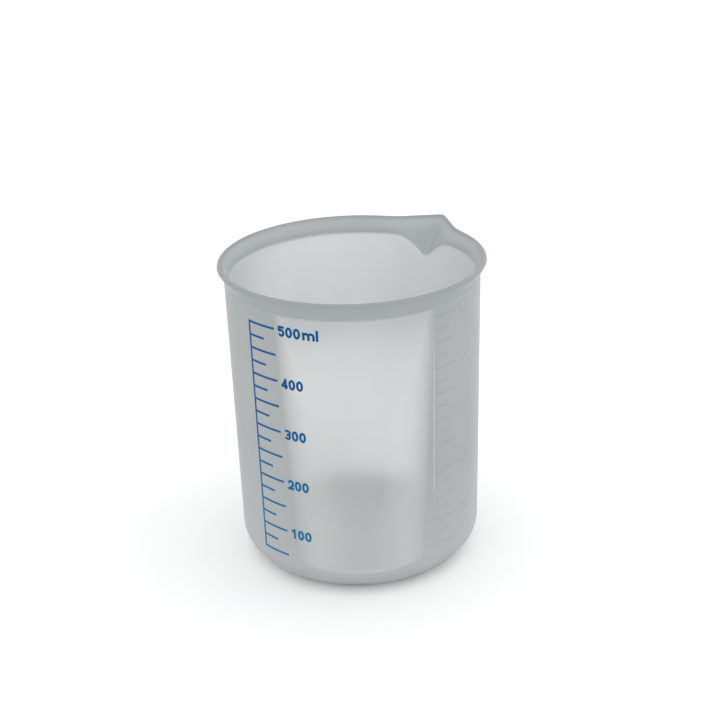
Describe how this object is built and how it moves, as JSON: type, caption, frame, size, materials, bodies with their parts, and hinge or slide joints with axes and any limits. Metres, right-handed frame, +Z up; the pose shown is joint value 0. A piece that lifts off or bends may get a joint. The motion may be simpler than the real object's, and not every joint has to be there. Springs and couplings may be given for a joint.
{
  "type": "low-form laboratory beaker",
  "caption": "Translucent plastic beaker with a flared rim, a V-shaped pouring spout, a printed volume scale and a raised one beside it.",
  "frame": {"origin": "centre of the base, on the plane that the beaker stands on; the axis of the round body passes through it", "axes": "+Z up along the body's axis, +Y towards the pouring spout; the printed scale faces -Y and the raised scale faces +X"},
  "size_m": [0.0912, 0.1004, 0.108],
  "materials": {
    "polypropylene": "satin",
    "ink": "satin"
  },
  "bodies": {
    "root": {"vessel": "polypropylene", "scale_line": "ink", "long_graduations": "ink", "short_graduations": "ink", "numeral_500": "ink", "numeral_400": "ink", "numeral_300": "ink", "numeral_200": "ink", "numeral_100": "ink", "unit_ml": "ink"}
  },
  "joints": []
}
